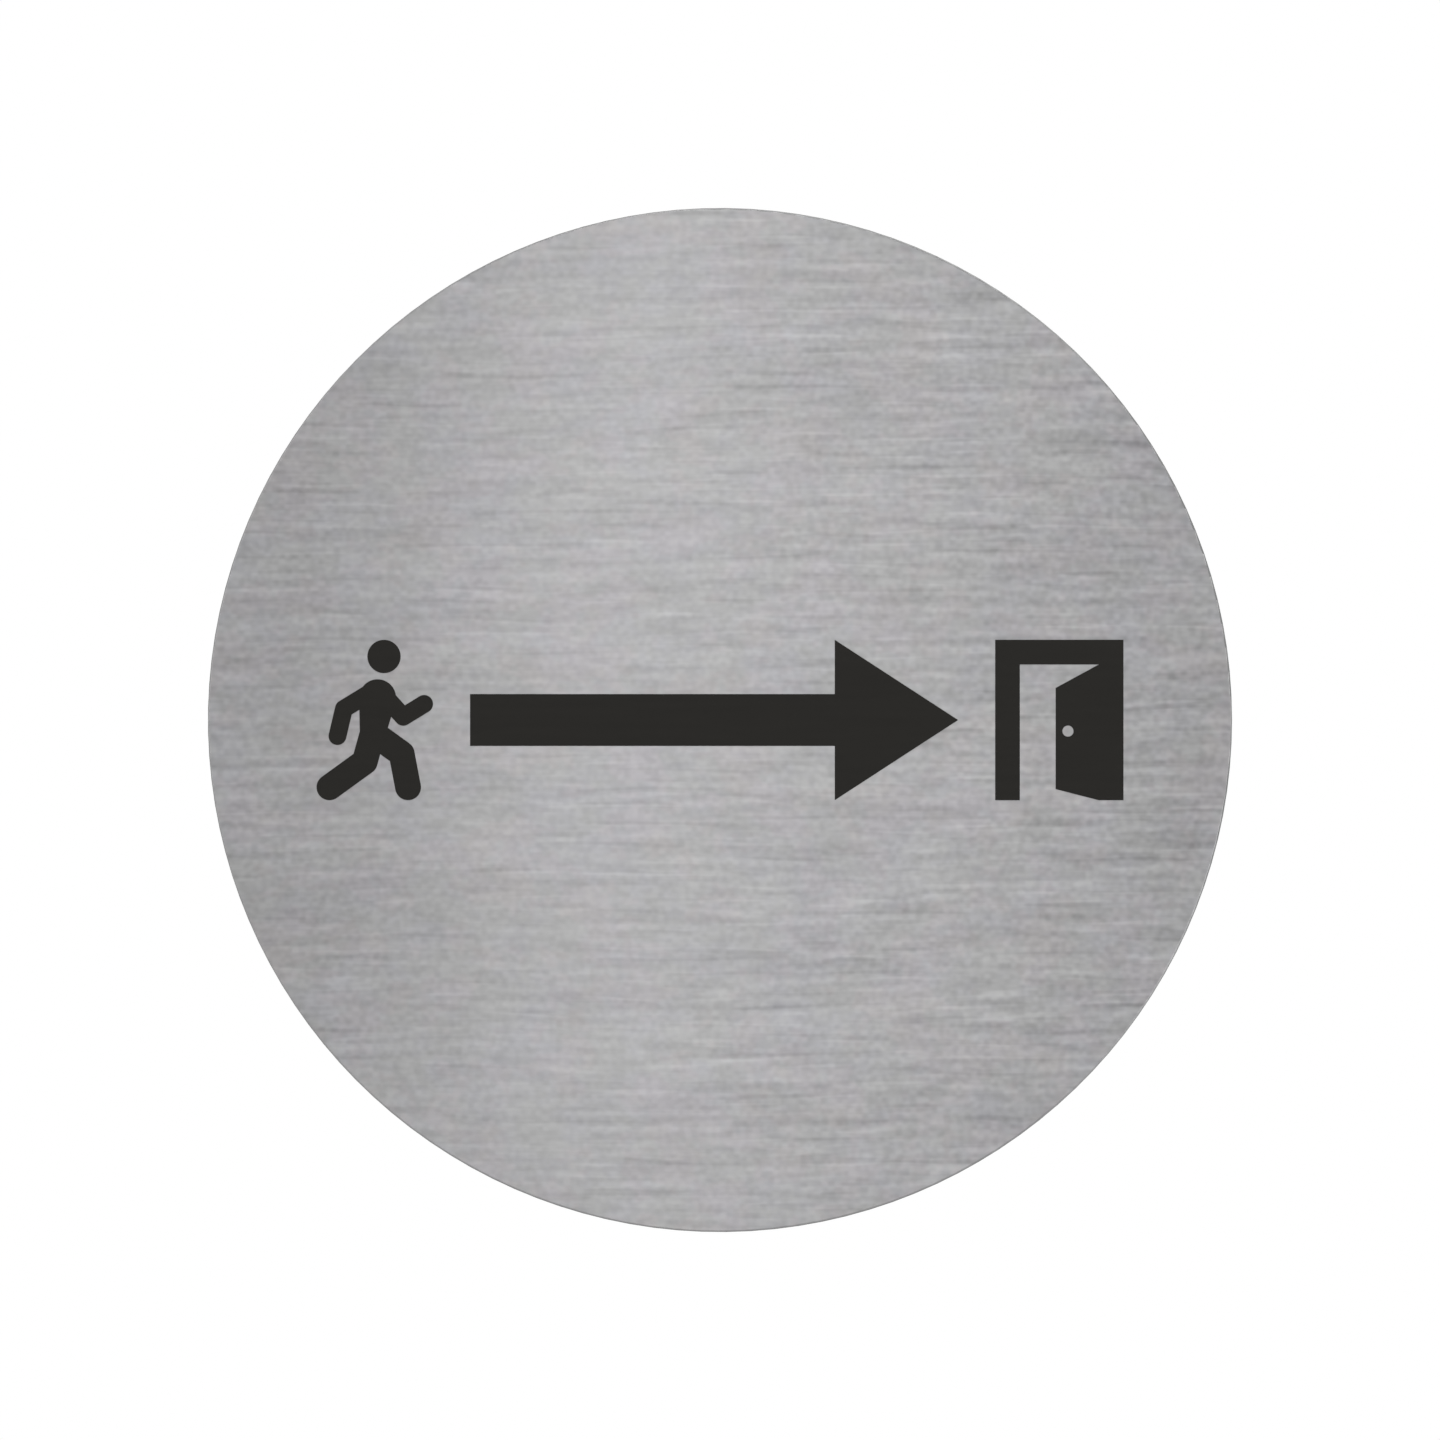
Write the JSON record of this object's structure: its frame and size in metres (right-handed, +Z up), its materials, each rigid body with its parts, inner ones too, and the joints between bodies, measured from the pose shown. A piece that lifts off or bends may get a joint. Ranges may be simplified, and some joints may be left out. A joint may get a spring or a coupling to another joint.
{
  "type": "exit door sign",
  "caption": "Round stick-on exit door sign: a thin brushed metal disc with a black printed walker, arrow and open doorway across its front and a foam tape pad on its back.",
  "frame": {"origin": "centre of the adhesive pad's back face, the face that sticks to the door", "axes": "+Y points into the door, so the printed front faces -Y; +X is to the right for a person who reads the sign; +Z is up"},
  "size_m": [0.083, 0.0021, 0.083],
  "materials": {
    "brushed_metal": "satin",
    "black_ink": "satin",
    "foam_tape": "matte"
  },
  "bodies": {
    "root": {"sign_plate": "brushed_metal", "exit_symbol": "black_ink", "adhesive_pad": "foam_tape"}
  },
  "joints": []
}
